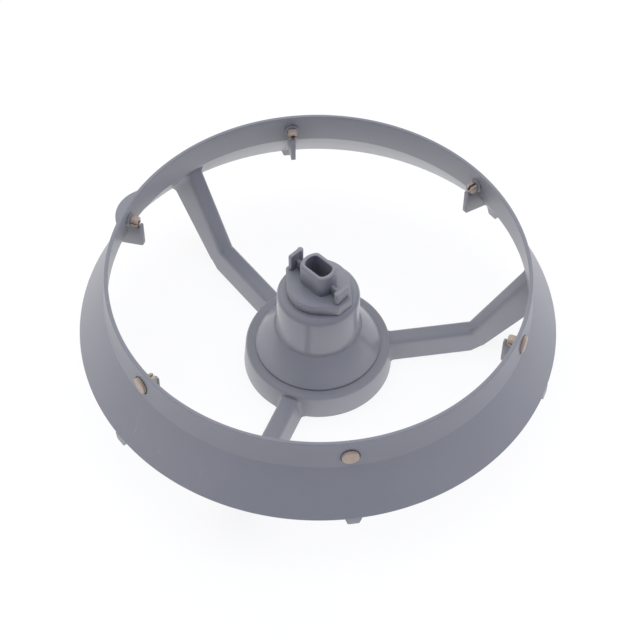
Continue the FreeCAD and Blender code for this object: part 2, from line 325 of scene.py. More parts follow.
def evaluated(piece: bpy.types.Object, name: str) -> bpy.types.Mesh:
    """Turn a piece with modifiers into a plain mesh, and remove the piece.

    Args:
        piece: The object with its modifiers.
        name: The new mesh's name.

    Returns:
        The mesh that the modifiers make.
    """
    depsgraph = bpy.context.evaluated_depsgraph_get()
    mesh = bpy.data.meshes.new_from_object(piece.evaluated_get(depsgraph))
    bpy.data.objects.remove(piece)
    mesh.name = name
    return mesh


def arc(radius: float, start: float, end: float, steps: int, centre: Point2 = (0.0, 0.0)) -> list[Point2]:
    """Points of an arc.

    Args:
        radius: Its radius.
        start: The angle that it starts at, in radians.
        end: The angle that it ends at.
        steps: How many steps it takes.
        centre: Its centre.

    Returns:
        One point more than there are steps.
    """
    angles = [start + (end - start) * step / steps for step in range(steps + 1)]
    return [(centre[0] + radius * math.cos(angle), centre[1] + radius * math.sin(angle)) for angle in angles]


def quarter_turn(steps: int) -> list[float]:
    """Angles from nothing to a quarter turn, in radians."""
    return [math.pi / 2.0 * step / steps for step in range(steps + 1)]


def rounded_outline(corners: Sequence[Corner], closed: bool = True) -> list[Point2]:
    """Points of an outline whose corners are rounded by arcs.

    Args:
        corners: The outline's corners in order.
        closed: Whether the last corner leads back to the first.

    Returns:
        The outline's points.
    """
    points: list[Point2] = []
    count = len(corners)
    for index, corner in enumerate(corners):
        here = Vector((corner.across, corner.level))
        ends_here = not closed and index in (0, count - 1)
        if corner.rounding <= 0.0 or ends_here:
            points.append((here.x, here.y))
            continue
        back = (Vector((corners[index - 1].across, corners[index - 1].level)) - here).normalized()
        after = corners[(index + 1) % count]
        ahead = (Vector((after.across, after.level)) - here).normalized()
        half = back.angle(ahead) / 2.0
        inward = (back + ahead).normalized()
        centre = here + inward * (corner.rounding / math.sin(half))
        start = here + back * (corner.rounding / math.tan(half)) - centre
        turn = math.pi - 2.0 * half
        if start.y * back.x - start.x * back.y < 0.0:
            turn = -turn
        steps = max(2, math.ceil(abs(math.degrees(turn)) / ARC_STEP))
        for step in range(steps + 1):
            spoke = Matrix.Rotation(turn * step / steps, 2) @ start
            points.append((centre.x + spoke.x, centre.y + spoke.y))
    return points


def stacked(rings: Sequence[Sequence[Sequence[float]]], name: str, strips: bool = False) -> bpy.types.Mesh:
    """A closed solid through rings of as many points.

    Args:
        rings: The rings in order, each a list of points.
        name: The mesh's name.
        strips: Whether a strip of faces closes each end. The rings are then the same on both
            sides. Otherwise one flat face closes it.

    Returns:
        The mesh.
    """
    build = bmesh.new()
    loops = [[build.verts.new(point) for point in ring] for ring in rings]
    count = len(loops[0])
    for low, high in zip(loops, loops[1:]):
        for index in range(count):
            after = (index + 1) % count
            build.faces.new((low[index], low[after], high[after], high[index]))
    for ring in (loops[0], loops[-1]):
        if strips:
            for index in range(count // 2 - 1):
                build.faces.new((ring[index], ring[index + 1], ring[-2 - index], ring[-1 - index]))
        else:
            build.faces.new(ring)
    return clean_mesh(build, name)


def upright(outline: Sequence[Point2], low: float, high: float, name: str) -> bpy.types.Mesh:
    """An upright prism on an outline seen from above."""
    return stacked([[(x, y, z) for x, y in outline] for z in (low, high)], name)


def radial_plate(outline: Sequence[Point2], thickness: float, name: str) -> bpy.types.Mesh:
    """A flat plate in the XZ plane, with its thickness centred on that plane."""
    sides = (-thickness / 2.0, thickness / 2.0)
    return stacked([[(x, y, z) for x, z in outline] for y in sides], name)


def sector(outline: Sequence[Point2], spread: float, steps: int, name: str) -> bpy.types.Mesh:
    """A closed part of a turned form, centred on +X.

    Args:
        outline: Radius and level of each point.
        spread: The angle that it covers, in radians.
        steps: How many faces cover the angle.
        name: The mesh's name.

    Returns:
        The mesh.
    """
    angles = [spread * (step / steps - 0.5) for step in range(steps + 1)]
    return stacked([[(radius * math.cos(angle), radius * math.sin(angle), level)
                     for radius, level in outline] for angle in angles], name)


def softened(mesh: bpy.types.Mesh, width: float, segments: int = 2) -> bpy.types.Mesh:
    """A mesh with its sharp edges rounded.

    Args:
        mesh: The plain mesh.
        width: How far the rounding reaches from each edge.
        segments: How many faces make the rounding.

    Returns:
        The softened mesh.
    """
    piece = placed(mesh, mesh.name)
    bevel = piece.modifiers.new("soft_edges", "BEVEL")
    bevel.width = width
    bevel.segments = segments
    bevel.limit_method = "ANGLE"
    bevel.angle_limit = math.radians(SHARP_ANGLE)
    return evaluated(piece, mesh.name)


def joined(base: bpy.types.Mesh, others: Sequence[bpy.types.Mesh], how: Join) -> bpy.types.Mesh:
    """Join a mesh with others into one closed surface, or cut the others out of it.

    Args:
        base: The mesh that is kept.
        others: The meshes that are joined to it or cut out of it.
        how: Which of the two.

    Returns:
        The joined mesh.
    """
    piece = placed(base, base.name)
    group = bpy.data.collections.new("operands")
    helpers = [bpy.data.objects.new(mesh.name, mesh) for mesh in others]
    for helper in helpers:
        group.objects.link(helper)
    bpy.context.scene.collection.children.link(group)
    cut = piece.modifiers.new("join", "BOOLEAN")
    cut.operation = how.value
    cut.operand_type = "COLLECTION"
    cut.collection = group
    cut.solver = "EXACT"
    mesh = evaluated(piece, base.name)
    for helper in helpers:
        bpy.data.objects.remove(helper)
    bpy.data.collections.remove(group)
    return mesh


class FormTree:
    """Geometry node trees for what turns about an axis or repeats round it."""

    def __init__(self) -> None:
        """Build the trees once."""
        self.lathe = self.lathe_tree()
        self.circle = self.circle_tree()

    @staticmethod
    def empty_tree(name: str, inputs: Sequence[tuple[str, str]]) -> tuple[Graph, dict[str, Wire], Any]:
        """A tree with its group inputs and one geometry output.

        Args:
            name: The tree's name.
            inputs: Names and socket types of the inputs after the geometry.

        Returns:
            The graph, its wrapped inputs by name and its output node.
        """
        tree = bpy.data.node_groups.new(name, "GeometryNodeTree")
        tree.interface.new_socket("Geometry", in_out="INPUT", socket_type="NodeSocketGeometry")
        for label, kind in inputs:
            tree.interface.new_socket(label, in_out="INPUT", socket_type=kind)
        tree.interface.new_socket("Geometry", in_out="OUTPUT", socket_type="NodeSocketGeometry")
        graph = Graph(tree)
        start = graph.node("NodeGroupInput", {}, {})
        end = graph.node("NodeGroupOutput", {}, {})
        wires = {socket.name: Wire(graph, socket) for socket in start.outputs if socket.name}
        return graph, wires, end

    @staticmethod
    def ended_tree(graph: Graph, geometry: Wire, material: Wire, end: bpy.types.Node) -> bpy.types.NodeTree:
        """Make a tree's copies real, give them their material and lead them out of it.

        Args:
            graph: The tree.
            geometry: What it has made.
            material: The material.
            end: The tree's output node.

        Returns:
            The finished tree.
        """
        real = graph.wire("GeometryNodeRealizeInstances", {}, {"Geometry": geometry})
        done = graph.wire("GeometryNodeSetMaterial", {}, {"Geometry": real, "Material": material})
        graph.feed(end.inputs["Geometry"], done)
        return graph.tree

    def lathe_tree(self) -> bpy.types.NodeTree:
        """Turns a closed outline in the XZ plane once about Z, with a grid that takes its points.

        Returns:
            The tree.
        """
        graph, given, end = self.empty_tree("turned_form", [
            ("Segments", "NodeSocketInt"),
            ("Outline Points", "NodeSocketInt"),
            ("Merge Distance", "NodeSocketFloat"),
            ("Material", "NodeSocketMaterial"),
        ])
        across = given["Outline Points"] + 1.0
        grid = graph.wire("GeometryNodeMeshGrid", {}, {
            "Vertices X": given["Segments"] + 1.0,
            "Vertices Y": across,
        }, "Mesh")
        index = graph.wire("GeometryNodeInputIndex", {}, {})
        segment = (index / across).floor()
        place = (index - segment * across) % given["Outline Points"]
        position = graph.wire("GeometryNodeInputPosition", {}, {})
        sample = graph.wire("GeometryNodeSampleIndex", {"data_type": "FLOAT_VECTOR"}, {
            "Geometry": given["Geometry"],
            "Value": position,
            "Index": place,
        })
        turned = graph.wire("ShaderNodeVectorRotate", {"rotation_type": "Z_AXIS"}, {
            "Vector": sample,
            "Angle": segment * (2.0 * math.pi) / given["Segments"],
        })
        moved = graph.wire("GeometryNodeSetPosition", {}, {"Geometry": grid, "Position": turned})
        closed = graph.wire("GeometryNodeMergeByDistance", {}, {
            "Geometry": moved,
            "Distance": given["Merge Distance"],
        })
        return self.ended_tree(graph, closed, given["Material"], end)

    def circle_tree(self) -> bpy.types.NodeTree:
        """Repeats a piece evenly round the Z axis.

        Returns:
            The tree.
        """
        graph, given, end = self.empty_tree("round_the_axis", [
            ("Count", "NodeSocketInt"),
            ("First Angle", "NodeSocketFloat"),
            ("Material", "NodeSocketMaterial"),
        ])
        points = graph.wire("GeometryNodePoints", {}, {"Count": given["Count"]})
        index = graph.wire("GeometryNodeInputIndex", {}, {})
        angle = given["First Angle"] + index * (2.0 * math.pi) / given["Count"]
        turn = graph.wire("ShaderNodeCombineXYZ", {}, {"Z": angle})
        copies = graph.wire("GeometryNodeInstanceOnPoints", {}, {
            "Points": points,
            "Instance": given["Geometry"],
            "Rotation": turn,
        })
        return self.ended_tree(graph, copies, given["Material"], end)

    @staticmethod
    def run(tree: bpy.types.NodeTree, mesh: bpy.types.Mesh, values: dict[str, Any]) -> bpy.types.Mesh:
        """Run a tree on a mesh.

        Args:
            tree: The tree.
            mesh: The mesh that goes into it.
            values: The tree's inputs by name.

        Returns:
            The plain mesh that comes out.
        """
        piece = placed(mesh, mesh.name)
        modifier = piece.modifiers.new(tree.name, "NODES")
        modifier.node_group = tree
        for item in tree.interface.items_tree:
            if item.item_type == "SOCKET" and item.in_out == "INPUT" and item.name in values:
                modifier[item.identifier] = values[item.name]
        return evaluated(piece, mesh.name)

    def turned(self, outline: Sequence[Point2], segments: int, plastic: bpy.types.Material,
               name: str) -> bpy.types.Mesh:
        """A closed outline turned about Z.

        Args:
            outline: Radius and level of each point.
            segments: How many steps one turn takes.
            plastic: The surface's material.
            name: The mesh's name.

        Returns:
            The turned mesh.
        """
        profile = bpy.data.meshes.new(name)
        profile.from_pydata([(radius, 0.0, level) for radius, level in outline], [], [])
        mesh = self.run(self.lathe, profile, {
            "Segments": segments,
            "Outline Points": len(outline),
            "Merge Distance": MERGE_DISTANCE,
            "Material": plastic,
        })
        build = bmesh.new()
        build.from_mesh(mesh)
        bpy.data.meshes.remove(mesh)
        made = clean_mesh(build, name)
        made.materials.append(plastic)
        return made

    def pin(self, corners: Sequence[Corner], level: float, segments: int, plastic: bpy.types.Material,
            name: str) -> bpy.types.Mesh:
        """A form turned about an axis that lies along +X.

        Args:
            corners: Corners as radius and place along the axis, starting and ending on it.
            level: The axis's level.
            segments: How many steps one turn takes.
            plastic: The surface's material.
            name: The mesh's name.

        Returns:
            The turned mesh.
        """
        outline = rounded_outline([Corner(corner.across, -corner.level, corner.rounding)
                                   for corner in corners])
        mesh = self.turned(outline, segments, plastic, name)
        mesh.transform(Matrix.Translation((0.0, 0.0, level)) @ Matrix.Rotation(-math.pi / 2.0, 4, "Y"))
        return mesh

    def around(self, mesh: bpy.types.Mesh, count: int, first: float,
               plastic: bpy.types.Material) -> bpy.types.Mesh:
        """A mesh repeated evenly round the Z axis.

        Args:
            mesh: One piece.
            count: How many there are.
            first: The first one's angle in degrees.
            plastic: The surface's material.

        Returns:
            One mesh with all of them.
        """
        return self.run(self.circle, mesh, {
            "Count": count,
            "First Angle": math.radians(first),
            "Material": plastic,
        })


@dataclass(frozen=True)
class PlasticFinish:
    """A satin moulded plastic, with the faint marks of moulding and handling.

    Fields:
        slot: The record's material slot.
        colour: The plastic's own colour.
        faded: The colour that it drifts towards.
        drift: How much of the drift shows.
        roughness: The middle roughness.
        grain_depth: Depth of the mould's grain.
        scratches: How strongly fine upright scratches show.
    """

    slot: Slot
    colour: Colour
    faded: Colour
    drift: float
    roughness: float
    grain_depth: float
    scratches: float

    cloud_size: float = 48.0
    cloud_limits: Point2 = (0.3, 0.7)
    speckle_size: float = 0.9
    speckle_share: float = 0.5
    grain_size: float = 0.5
    ripple_size: float = 9.0
    ripple_depth: float = 0.012
    scratch_count: float = 420.0
    scratch_length: float = 9.0
    scratch_limits: Point2 = (0.66, 0.74)
    scratch_depth: float = 0.012
    scratch_light: float = 1.7
    scratch_roughness: float = 0.06
    patch_size: float = 26.0
    patch_limits: Point2 = (0.52, 0.68)
    roughness_spread: float = 0.1
    ior: float = 1.5

    def material(self) -> bpy.types.Material:
        """Build the finish as a material.

        Returns:
            The material.
        """
        made = bpy.data.materials.new(self.slot.value)
        graph = cleared(made)
        place = graph.wire("ShaderNodeTexCoord", {}, {}, "Object")
        clouds = graph.noise(place, self.cloud_size, 4.0)
        speckle = graph.noise(place, self.speckle_size, 2.0)
        scratch = self.scratch_mask(graph, place)
        drifted = graph.eased(clouds, self.cloud_limits) * self.drift
        speckled = (speckle - 0.5) * self.drift * self.speckle_share
        colour = graph.blend(drifted + speckled, self.colour, self.faded)
        light = [min(1.0, level * self.scratch_light) for level in self.colour]
        shader = graph.wire("ShaderNodeBsdfPrincipled", {}, {
            "Base Color": graph.blend(scratch * self.scratches, colour, light),
            "Roughness": (self.roughness + (clouds - 0.5) * self.roughness_spread
                          + scratch * self.scratch_roughness),
            "IOR": self.ior,
            "Normal": self.relief(graph, place, scratch),
        })
        graph.node("ShaderNodeOutputMaterial", {}, {"Surface": shader})
        return made

    def scratch_mask(self, graph: Graph, place: Wire) -> Wire:
        """Thin upright scratches in a few patches round the axis.

        Args:
            graph: The material's nodes.
            place: The point's own coordinates.

        Returns:
            One on a scratch and nothing beside it.
        """
        parts = graph.node("ShaderNodeSeparateXYZ", {}, {"Vector": place})
        across, along, level = (Wire(graph, socket) for socket in parts.outputs)
        azimuth = across.maths("ARCTAN2", along, across)
        strip = graph.wire("ShaderNodeCombineXYZ", {}, {
            "X": azimuth * (self.scratch_count / (2.0 * math.pi)),
            "Y": level / (self.scratch_length * MM),
        })
        lines = graph.wire("ShaderNodeTexNoise", {}, {"Vector": strip, "Scale": 1.0, "Detail": 1.0})
        patches = graph.noise(place, self.patch_size, 1.0)
        return graph.eased(lines, self.scratch_limits) * graph.eased(patches, self.patch_limits)

    def relief(self, graph: Graph, place: Wire, scratch: Wire) -> Wire:
        """The normal, with the mould's grain, slow ripples and scratches.

        Args:
            graph: The material's nodes.
            place: The point's own coordinates.
            scratch: Where the scratches are.

        Returns:
            The bumped normal.
        """
        grain = graph.noise(place, self.grain_size, 3.0)
        ripples = graph.noise(place, self.ripple_size, 1.0)
        height = (grain * (self.grain_depth * MM) + ripples * (self.ripple_depth * MM)
                  - scratch * (self.scratch_depth * MM))
        return graph.wire("ShaderNodeBump", {}, {"Strength": 1.0, "Distance": 1.0, "Height": height})


RING_FINISH = PlasticFinish(
    slot=Slot.RING,
    colour=(0.19, 0.193, 0.205),
    faded=(0.216, 0.218, 0.23),
    drift=0.4,
    roughness=0.35,
    grain_depth=0.006,
    scratches=0.25,
)
COUPLING_FINISH = PlasticFinish(
    slot=Slot.COUPLING,
    colour=(0.2, 0.204, 0.216),
    faded=(0.225, 0.228, 0.24),
    drift=0.4,
    roughness=0.18,
    grain_depth=0.004,
    scratches=0.12,
)
INSERT_FINISH = PlasticFinish(
    slot=Slot.INSERT,
    colour=(0.205, 0.208, 0.22),
    faded=(0.23, 0.233, 0.245),
    drift=0.4,
    roughness=0.35,
    grain_depth=0.005,
    scratches=0.0,
)
ROLLER_FINISH = PlasticFinish(
    slot=Slot.ROLLER,
    colour=(0.35, 0.27, 0.2),
    faded=(0.43, 0.345, 0.265),
    drift=0.8,
    roughness=0.45,
    grain_depth=0.01,
    scratches=0.0,
    cloud_size=4.0,
)


def finished(mesh: bpy.types.Mesh, name: str, body: str, slot: Slot, plastic: bpy.types.Material,
             nodes: Sequence[str]) -> bpy.types.Object:
    """Make a millimetre mesh a finished piece of the object.

    Args:
        mesh: The mesh, in millimetres.
        name: The piece's name.
        body: The body that it rides on.
        slot: The record's material slot. Not used.
        plastic: Its material.
        nodes: The CAD nodes that it stands for.

    Returns:
        The piece.
    """
    mesh.transform(Matrix.Scale(MM, 4))
    mesh.name = name
    mesh.materials.clear()
    mesh.materials.append(plastic)
    for face in mesh.polygons:
        face.material_index = 0
    mesh.shade_smooth()
    mesh.set_sharp_from_angle(angle=math.radians(SHARP_ANGLE))
    piece = placed(mesh, name)
    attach(piece, body)
    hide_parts(*nodes)
    mesh.calc_loop_triangles()
    log.info("%s: %d triangles, rides on %s", name, len(mesh.loop_triangles), body)
    return piece


def double_d(radius: float, half_width: float, rounding: float, inset: float = 0.0) -> list[Point2]:
    """An outline round at both ends of X and flat on its two long sides.

    Args:
        radius: Radius of the round ends.
        half_width: Half the distance between the flats.
        rounding: Radius of its four corners.
        inset: How far the whole outline is drawn in.

    Returns:
        The outline, with as many points whatever the inset.
    """
    end = radius - inset
    side = half_width - inset
    corner = max(rounding - inset, 0.05)
    turn_centre = (math.sqrt((end - corner) ** 2 - (side - corner) ** 2), side - corner)
    sweep = math.atan2(turn_centre[1], turn_centre[0])
    quarter = arc(end, 0.0, sweep, 6)[:-1] + arc(corner, sweep, math.pi / 2.0, 5, turn_centre)
    half = quarter + [(-x, y) for x, y in reversed(quarter)]
    return half + [(x, -y) for x, y in reversed(half[1:-1])]


@dataclass(frozen=True)
class SpokeShape:
    """A form along a spoke: its body, or the channel that is cut out of it.

    Fields:
        name: The mesh's name.
        start: Radius at the hub's end.
        share: How far into the skirt's wall the outer end lies.
        gap: How far short of that the outer end stops.
        lowering: How far its top lies below the spoke's own top.
        drop: How far its underside lies below the spoke's own.
        blended: Whether it widens into the hub and the skirt and has round top edges.
    """

    name: str
    start: float
    share: float
    gap: float = 0.0
    lowering: float = 0.0
    drop: float = 0.0
    blended: bool = False


@dataclass
class RingMoulding:
    """The ring, all one moulding: wall, skirt, feet, tab, ribs, spokes and hub."""

    layout: Layout
    forms: FormTree
    plastic: bpy.types.Material

    rim_top: float = 66.5
    rim_radius: float = 95.0
    wall_height: float = 14.7
    wall_draft: float = 1.4
    wall_thickness: float = 1.8
    skirt_bottom: float = 30.5
    skirt_radius: float = 109.4
    skirt_thickness: float = 2.2
    rim_edge: float = 0.4
    bend_rounding: float = 1.5
    shell_segments: int = 384

    hub_top_radius: float = 33.6
    hub_foot_radius: float = 34.7
    hub_wall: float = 2.4
    hub_top_thickness: float = 2.3
    hub_edge: float = 1.8
    hub_bore: float = 24.6
    hub_inner_rounding: float = 0.8
    hub_segments: int = 192

    foot_count: int = 6
    foot_first: float = 30.0
    foot_drop: float = 3.6
    foot_root_width: float = 7.2
    foot_tip_width: float = 5.0
    foot_rounding: float = 0.8
    foot_edge: float = 0.24

    tab_angle: float = 150.0
    tab_radius: float = 16.2
    tab_reach: float = 3.4
    tab_thickness: float = 2.0
    tab_edge: float = 0.32
    tab_steps: int = 36

    seat_hole: float = 2.08
    seat_recess: float = 4.3
    seat_depth: float = 0.7
    seat_rounding: float = 0.15
    seat_past: float = 2.0
    seat_segments: int = 48
    boss_radius: float = 3.4
    boss_height: float = 1.4
    boss_rounding: float = 1.0

    rib_thickness: float = 2.2
    rib_horn_inner: float = 87.2
    rib_horn_width: float = 1.4
    rib_horn_level: float = 56.9
    rib_notch_level: float = 55.05
    rib_tip_level: float = 43.4
    rib_tip_rounding: float = 1.6
    rib_foot_level: float = 40.2
    rib_rounding: float = 0.5
    rib_edge: float = 0.25

    spoke_count: int = 3
    spoke_width: float = 7.6
    spoke_draft: float = 12.5
    spoke_wall: float = 1.8
    spoke_level_angle: float = 1.2
    spoke_rise_angle: float = 56.0
    spoke_bend: Point2 = (72.8, 11.4)
    spoke_bend_rounding: float = 2.5
    spoke_edge: float = 1.8
    edge_steps: int = 6
    side_shares: tuple[float, ...] = (0.3, 0.5, 0.7, 0.86, 1.0)
    level_stations: tuple[float, ...] = (4.0, 8.0, 13.0, 18.0, 24.0)
    bend_steps: int = 6
    rise_stations: tuple[float, ...] = (20.0, 14.0, 8.0, 5.5, 4.6, 3.8, 3.2, 2.7, 2.3, 2.0, 1.7, 1.4, 0.0)
    under_bend: float = 76.0
    under_angle: float = 48.0
    under_rounding: float = 8.0
    end_wall: float = 2.0
    hub_blend: float = 1.8
    fillet_steps: int = 5
    fillet_pitch: float = 0.25
    skirt_blend: float = 3.0
    channel_depth: float = 4.0

    bend_level: float = field(init=False)
    bend_radius: float = field(init=False)
    wall_slope: float = field(init=False)
    skirt_slope: float = field(init=False)
    wall_run: float = field(init=False)
    skirt_run: float = field(init=False)

    def __post_init__(self) -> None:
        """Work out the shell's bend and slopes."""
        self.bend_level = self.rim_top - self.wall_height
        self.bend_radius = self.rim_radius + self.wall_draft
        self.wall_slope = self.wall_draft / self.wall_height
        self.skirt_slope = (self.skirt_radius - self.bend_radius) / (self.bend_level - self.skirt_bottom)
        self.wall_run = self.wall_thickness * math.hypot(1.0, self.wall_slope)
        self.skirt_run = self.skirt_thickness * math.hypot(1.0, self.skirt_slope)

    def outer_radius(self, level: float) -> float:
        """The shell's outer radius at a level.

        Args:
            level: The level.

        Returns:
            The radius.
        """
        if level > self.bend_level:
            return self.rim_radius + (self.rim_top - level) * self.wall_slope
        return self.bend_radius + (self.bend_level - level) * self.skirt_slope

    def inner_radius(self, level: float, share: float = 1.0) -> float:
        """The shell's inner radius at a level, or a radius a share of the way into its wall.

        Args:
            level: The level.
            share: How far in it lies, from 0 on the outside to 1 on the inside.

        Returns:
            The radius.
        """
        in_wall = self.rim_radius + (self.rim_top - level) * self.wall_slope - self.wall_run * share
        in_skirt = self.bend_radius + (self.bend_level - level) * self.skirt_slope - self.skirt_run * share
        return max(in_wall, in_skirt) if level < self.bend_level else in_wall

    def shell(self) -> bpy.types.Mesh:
        """The round wall and the flared skirt.

        Returns:
            The mesh.
        """
        drop = (self.wall_run - self.skirt_run) / (self.wall_slope - self.skirt_slope)
        inner_bend = Corner(self.bend_radius - self.wall_run + drop * self.wall_slope,
                            self.bend_level - drop, self.bend_rounding)
        outline = rounded_outline([
            Corner(self.rim_radius, self.rim_top, self.rim_edge),
            Corner(self.bend_radius, self.bend_level, self.bend_rounding),
            Corner(self.skirt_radius, self.skirt_bottom, self.rim_edge),
            Corner(self.skirt_radius - self.skirt_run, self.skirt_bottom, self.rim_edge),
            inner_bend,
            Corner(self.rim_radius - self.wall_run, self.rim_top, self.rim_edge),
        ])
        return self.forms.turned(outline, self.shell_segments, self.plastic, "shell")

    def hub(self) -> bpy.types.Mesh:
        """The round hub, open below, with a hole in its top.

        Returns:
            The mesh.
        """
        inner = self.hub_foot_radius - self.hub_wall
        top = self.layout.hub_height
        ceiling = top - self.hub_top_thickness
        outline = rounded_outline([
            Corner(self.hub_foot_radius, 0.0, self.rim_edge),
            Corner(self.hub_top_radius, top, self.hub_edge),
            Corner(self.hub_bore, top, self.rim_edge),
            Corner(self.hub_bore, ceiling, self.rim_edge),
            Corner(inner, ceiling, self.hub_inner_rounding),
            Corner(inner, 0.0, self.rim_edge),
        ])
        return self.forms.turned(outline, self.hub_segments, self.plastic, "hub")

    def tab(self) -> bpy.types.Mesh:
        """The half-round tab that stands out of the rim.

        Returns:
            The mesh.
        """
        middle = self.rim_radius + self.tab_reach - self.tab_radius
        root = self.rim_radius - self.wall_thickness / 2.0
        cross = (root ** 2 - self.tab_radius ** 2 + middle ** 2) / (2.0 * middle)
        half = math.acos((cross - middle) / self.tab_radius)
        root_half = math.acos(cross / root)
        outline = arc(self.tab_radius, -half, half, self.tab_steps, (middle, 0.0))
        outline += arc(root, root_half, -root_half, self.tab_steps)[1:-1]
        top = self.rim_top - HAIR
        mesh = softened(upright(outline, top - self.tab_thickness, top, "tab"), self.tab_edge)
        mesh.transform(Matrix.Rotation(math.radians(self.tab_angle), 4, "Z"))
        return mesh

    def feet(self) -> bpy.types.Mesh:
        """The small upright feet under the skirt's edge.

        Returns:
            One mesh with all of them.
        """
        lowest = self.skirt_bottom - self.foot_drop
        root = self.skirt_bottom + 2.0 * self.rim_edge
        half_root = self.foot_root_width / 2.0
        half_tip = self.foot_tip_width / 2.0
        outline = rounded_outline([
            Corner(half_root, root),
            Corner(half_root, self.skirt_bottom),
            Corner(half_tip, lowest, self.foot_rounding),
            Corner(-half_tip, lowest, self.foot_rounding),
            Corner(-half_root, self.skirt_bottom),
            Corner(-half_root, root),
        ])
        rings = []
        for depth in (HAIR, HAIR + self.skirt_run):
            ring = []
            for y, level in outline:
                radius = min(self.skirt_radius, self.outer_radius(level)) - depth
                ring.append((math.sqrt(radius ** 2 - y ** 2), y, level))
            rings.append(ring)
        mesh = softened(stacked(rings, "foot"), self.foot_edge)
        return self.forms.around(mesh, self.foot_count, self.foot_first, self.plastic)

    def at_rollers(self, mesh: bpy.types.Mesh) -> bpy.types.Mesh:
        """A mesh that lies along +X, repeated at each roller."""
        return self.forms.around(mesh, self.layout.roller_count, self.layout.roller_first, self.plastic)

    def ribs(self) -> bpy.types.Mesh:
        """The thin rib under each roller, with its notch.

        Returns:
            One mesh with all of them.
        """
        notch_inner = self.rib_horn_inner + self.rib_horn_width
        outline = rounded_outline([
            Corner(self.rib_horn_inner, self.rib_tip_level, self.rib_tip_rounding),
            Corner(self.rib_horn_inner, self.rib_horn_level, self.rib_rounding),
            Corner(notch_inner, self.rib_horn_level, self.rib_rounding),
            Corner(notch_inner, self.rib_notch_level, self.rib_rounding),
            Corner(self.inner_radius(self.rib_notch_level, 0.5), self.rib_notch_level),
            Corner(self.inner_radius(self.bend_level, 0.5), self.bend_level),
            Corner(self.inner_radius(self.rib_foot_level, 0.5), self.rib_foot_level),
        ])
        return self.at_rollers(softened(radial_plate(outline, self.rib_thickness, "rib"), self.rib_edge))

    def along_axles(self, corners: Sequence[Corner], name: str) -> bpy.types.Mesh:
        """A form that is turned about each roller's axle.

        Args:
            corners: Corners as radius and place along the axle, starting and ending on its axis.
            name: The mesh's name.

        Returns:
            One form for each roller.
        """
        level = self.layout.roller_level
        return self.at_rollers(self.forms.pin(corners, level, self.seat_segments, self.plastic, name))

    def bosses(self) -> bpy.types.Mesh:
        """The round boss inside the wall at each roller.

        Returns:
            One mesh with all of them.
        """
        outer = self.inner_radius(self.layout.roller_level, 0.5)
        inner = self.inner_radius(self.layout.roller_level) - self.boss_height
        return self.along_axles([
            Corner(0.0, inner),
            Corner(self.boss_radius, inner, self.boss_rounding),
            Corner(self.boss_radius, outer),
            Corner(0.0, outer),
        ], "boss")

    def seats(self) -> bpy.types.Mesh:
        """What is cut out of the wall for each roller: its axle's hole and its head's recess.

        Returns:
            One mesh with all of them.
        """
        face = self.outer_radius(self.layout.roller_level)
        inner = self.inner_radius(self.layout.roller_level) - 2.0 * self.boss_height
        return self.along_axles([
            Corner(0.0, inner),
            Corner(self.seat_hole, inner),
            Corner(self.seat_hole, face - self.seat_depth),
            Corner(self.seat_recess, face - self.seat_depth, self.seat_rounding),
            Corner(self.seat_recess, face + self.seat_past),
            Corner(0.0, face + self.seat_past),
        ], "seat")

    def spoke_lines(self, shape: SpokeShape) -> tuple[list[Point2], list[Point2]]:
        """Matching stations of a spoke's top line and underside line.

        Args:
            shape: Which of a spoke's forms it is.

        Returns:
            The top line's and the underside's points as radius and level.
        """
        level_slope = math.tan(math.radians(self.spoke_level_angle))
        rise_slope = math.tan(math.radians(self.spoke_rise_angle))
        under_slope = math.tan(math.radians(self.under_angle))
        bend_radius, bend_level = self.spoke_bend
        middle = math.radians(self.spoke_level_angle + self.spoke_rise_angle) / 2.0
        reach = shape.lowering / math.cos(math.radians(self.spoke_rise_angle - self.spoke_level_angle) / 2.0)
        bend_radius += math.sin(middle) * reach
        bend_level -= math.cos(middle) * reach
        under_level = (self.under_bend - self.hub_foot_radius) * level_slope - shape.drop + HAIR
        base = self.bend_radius - self.skirt_run * shape.share - shape.gap

        def line(bend: Corner, slope: float) -> list[Point2]:
            """A line through a bend, from the hub's end to where it meets the skirt.

            Args:
                bend: The bend, with its rounding.
                slope: How steeply the line rises beyond it.

            Returns:
                The line's stations.
            """
            start_level = bend.level - (bend.across - shape.start) * level_slope
            run = base + (self.bend_level - bend.level + slope * bend.across) * self.skirt_slope
            met = run / (1.0 + slope * self.skirt_slope)
            met_level = bend.level + (met - bend.across) * slope
            return self.stations([Corner(shape.start, start_level), bend, Corner(met, met_level)])

        top = line(Corner(bend_radius, bend_level, self.spoke_bend_rounding), rise_slope)
        under = line(Corner(self.under_bend, under_level, self.under_rounding), under_slope)
        return top, under

    def stations(self, corners: Sequence[Corner]) -> list[Point2]:
        """Points along a bent line: close together at both ends, and evenly across its bend.

        Args:
            corners: The line's two ends, with the rounded bend between them.

        Returns:
            The points as radius and level.
        """
        line = [Vector(point) for point in rounded_outline(corners, closed=False)]
        first, bend_start, bend_end, last = line[0], line[1], line[-2], line[-1]
        level_length = (bend_start - first).length
        rise_length = (last - bend_end).length
        fillet = [self.hub_wall / 2.0 + self.fillet_pitch * step for step in range(self.fillet_steps + 1)]
        near_hub = [0.0, *fillet, *self.level_stations]
        made = [first.lerp(bend_start, place / level_length) for place in near_hub]
        made += [bend_start.lerp(bend_end, step / self.bend_steps) for step in range(self.bend_steps + 1)]
        made += [last.lerp(bend_end, place / rise_length) for place in self.rise_stations]
        return [(point.x, point.y) for point in made]

